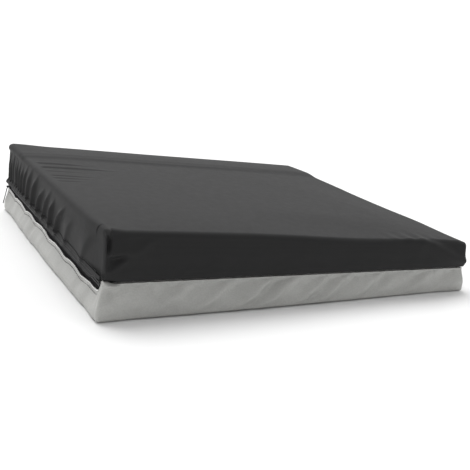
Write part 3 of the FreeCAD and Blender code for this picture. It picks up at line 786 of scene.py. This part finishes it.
def stitches(name, path, length, gap, radius, body, material):
    """A row of short rounded stitches along a path given as a function of y."""
    points, faces = [], []
    sides = STITCH_SIDES
    y = ZIP_NEAR + STITCH_INSET
    while y + length < ZIP_FAR - STITCH_INSET:
        ends = []
        for part, size in STITCH_PROFILE:
            place = path(y + part * length)
            sunk = STITCH_SUNK * (1 - math.sin(math.pi * part))
            ends.append((place[0] + sunk, place[1], place[2], radius * size))
        start = len(points)
        for cx, cy, cz, r in ends:
            for step in range(sides):
                turn = 2 * math.pi * step / sides
                points.append((cx + r * math.cos(turn), cy, cz + r * math.sin(turn)))
        for ring in range(len(ends) - 1):
            for step in range(sides):
                a = start + ring * sides + step
                b = start + ring * sides + (step + 1) % sides
                faces.append((a, b, b + sides, a + sides))
        faces.append(tuple(start + s for s in reversed(range(sides))))
        faces.append(tuple(start + (len(ends) - 1) * sides + s for s in range(sides)))
        y += length + gap
    return make_mesh(name, points, faces, body, material)


# The hem: x and z of its sewn top, how far its lower edge is above the CAD flap's, and how far its inner
# face is from its middle
HEM_TOP = (-HALF_X - 0.0003, FLAP_HIGH.z - 0.0007)
HEM_SHORTER = 0.0034
HEM_INNER = 0.0004


def soft_gathers(y):
    """The gathers as the doubled hem shows them: blurred along the edge."""
    total = 0.0
    for shift in np.linspace(-0.007, 0.007, 9):
        total = total + left_folds(y + shift, np.full_like(y, 0.002)) / 9
    return total


def flap_foot(y):
    """Height of the hem's lower edge."""
    far = ramp(-0.02, 0.10, y)
    near = ramp(-0.315, -0.362, y)
    lifted = 0.0048 * far + 0.0100 * near + 0.45 * np.clip(soft_gathers(y), 0, 1)
    return FLAP_LOW.z + HEM_SHORTER + lifted + 0.0005 * waves(y, 63, 0.03, 2)


def flap_wave(y, part):
    """How far the hem stands out: level with the cover's gathers at its top, calmer at its foot."""
    top = left_folds(y, np.full_like(y, 0.001)) + 0.0002
    foot = np.maximum(0.34 * soft_gathers(y), -0.0006)
    return top + (foot - top) * ramp(0.0, 0.75, np.full_like(y, part))


def hem_centre(y, part):
    """Middle of the hem's cloth, from its sewn top (part 0) to its lower edge (part 1)."""
    z = HEM_TOP[1] + (flap_foot(y) - HEM_TOP[1]) * part
    lean = np.clip((HEM_TOP[1] - z) / (HEM_TOP[1] - FLAP_LOW.z), 0, 1)
    x = HEM_TOP[0] + (FLAP_LOW.x + 0.0020 - HEM_TOP[0]) * (0.45 * lean + 0.55 * ramp(0.0, 0.8, lean))
    return x - flap_wave(y, part), z


def hem_thickness(part):
    """How far the hem's outer face stands out from its middle: more at the rolled lower edge."""
    return 0.0006 + 0.0005 * float(ramp(0.78, 0.92, part))


def build_flap():
    """Hem that hangs over the zip: a doubled strip with a rolled lower edge."""
    y = spread(FLAP_LOW.y, FLAP_HIGH.y, 0.002, 0.0022, 0.012)
    outer, inner = [], []
    for part in np.linspace(0, 1, 15):
        x, z = hem_centre(y, part)
        outer.append(np.stack([x - hem_thickness(part), y, z], 1))
        inner.append(np.stack([x + HEM_INNER, y, z], 1))
    rings = outer + inner[::-1]
    points = np.concatenate(rings)
    count, total = len(y), len(rings)
    faces = []
    for ring in range(total):
        after = (ring + 1) % total
        for c in range(count - 1):
            faces.append((ring * count + c, ring * count + c + 1, after * count + c + 1, after * count + c))
    faces.append(tuple(ring * count for ring in range(total)))
    faces.append(tuple(ring * count + count - 1 for ring in reversed(range(total))))
    flap = make_mesh("hem_flap", points, faces, None, COVER)
    apply_modifier(flap, "SUBSURF", levels=1, render_levels=1)
    blend_at_hem(flap)
    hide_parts("zip_flap")


def blend_at_hem(piece):
    """Bakes the piece's placement into its points."""
    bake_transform(piece)


def build_stitching():
    """Rows of thread above the hem, below the rim, and two on the hem itself."""
    def above_hem(y):
        push = float(left_folds(np.array([y]), np.array([0.006]))[0])
        return -HALF_X - 0.0004 - push, y, 0.0818 + 0.0006 * math.sin(40 * y)

    def below_rim(y):
        x = -BASE_X - 0.0015
        z = float(rim_height(np.array([x]), np.array([y]))[0]) - 0.0058
        return x, y, z

    row = stitches("hem_stitches", above_hem, 0.0042, 0.0022, 0.00055, "mattress", THREAD)
    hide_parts("flap_thread")
    row = stitches("rim_stitches", below_rim, 0.0042, 0.0026, 0.0005, "mattress", THREAD)
    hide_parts("rim_thread")

    def on_hem(part, rise):
        def place(y):
            x, z = hem_centre(np.array([y]), part)
            return float(x[0]) - hem_thickness(part) - 0.0001, y, float(z[0]) + rise * math.sin(y * 900)
        return place

    for name, part, rise in (("hem_topstitch_upper", 0.42, 0.0008), ("hem_topstitch_lower", 0.74, 0.0)):
        row = stitches(name, on_hem(part, rise), 0.0040, 0.0024, 0.00045, None, HEM_THREAD)
        blend_at_hem(row)


build_cover()
build_base()
build_band()
build_rim()
build_flap()
build_stitching()


# Floor, light and camera


def look_from(place, target, roll=0.0):
    """Matrix of something at `place` that looks along its -Z at `target`."""
    back = (Vector(place) - Vector(target)).normalized()
    right = Vector((0, 0, 1)).cross(back).normalized()
    above = back.cross(right)
    turned = Matrix.Rotation(math.radians(roll), 4, back)
    grid = Matrix((right, above, back)).transposed().to_4x4()
    return Matrix.Translation(place) @ turned @ grid


FLOOR_SIZE, FLOOR_BELOW, FLOOR_GREY = 400.0, 0.0004, 0.88
WALL_SIDE = (0.24, 0.94, 0.18)
WALL_LEVEL, ROOM_LEVEL = 1.05, 0.40
SUN_PLACE, SUN_POWER, SUN_SOFT = (-0.10, 1.10, 2.3), 1.9, 38
CAMERA_PLACE, CAMERA_TARGET = (-0.7889, -1.5131, 0.5044), (-0.0161, -0.1072, 0.060)
CAMERA_ROLL, CAMERA_LENS, CAMERA_SENSOR = 6.14, 59.35, 36.0


def build_stage():
    """A pale floor, soft light from behind and above, and the camera."""
    bpy.ops.mesh.primitive_plane_add(size=FLOOR_SIZE, location=(0, 0, -FLOOR_BELOW))
    floor = bpy.context.object
    floor.name = "floor"
    nodes = Nodes("floor_white")
    nodes.shader.inputs["Base Color"].default_value = (FLOOR_GREY, FLOOR_GREY, FLOOR_GREY, 1)
    nodes.shader.inputs["Roughness"].default_value = 0.9
    floor.data.materials.append(nodes.material)

    # A bright studio wall behind and to the left, a dim room in front
    world = bpy.data.worlds.new("studio")
    world.use_nodes = True
    tree = world.node_tree
    direction = tree.nodes.new("ShaderNodeTexCoord").outputs["Generated"]
    towards = tree.nodes.new("ShaderNodeVectorMath")
    towards.operation = "DOT_PRODUCT"
    towards.inputs[1].default_value = WALL_SIDE
    tree.links.new(direction, towards.inputs[0])
    level = tree.nodes.new("ShaderNodeMapRange")
    limits = {"From Min": -0.5, "From Max": 0.55, "To Min": ROOM_LEVEL, "To Max": WALL_LEVEL}
    for socket, number in limits.items():
        level.inputs[socket].default_value = number
    tree.links.new(towards.outputs["Value"], level.inputs["Value"])
    tree.nodes["Background"].inputs["Color"].default_value = (1, 1, 1, 1)
    tree.links.new(level.outputs[0], tree.nodes["Background"].inputs["Strength"])
    bpy.context.scene.world = world

    sun = bpy.data.lights.new("overhead", "SUN")
    sun.energy, sun.angle = SUN_POWER, math.radians(SUN_SOFT)
    lamp = bpy.data.objects.new("overhead", sun)
    lamp.matrix_world = look_from(SUN_PLACE, (0, 0, 0))
    bpy.context.scene.collection.objects.link(lamp)

    lens = bpy.data.cameras.new("camera")
    lens.lens, lens.sensor_width = CAMERA_LENS, CAMERA_SENSOR
    lens.dof.use_dof = False
    camera = bpy.data.objects.new("camera", lens)
    camera.matrix_world = look_from(CAMERA_PLACE, CAMERA_TARGET, CAMERA_ROLL)
    bpy.context.scene.collection.objects.link(camera)
    bpy.context.scene.camera = camera
    bpy.context.scene.view_settings.view_transform = "Standard"


build_stage()
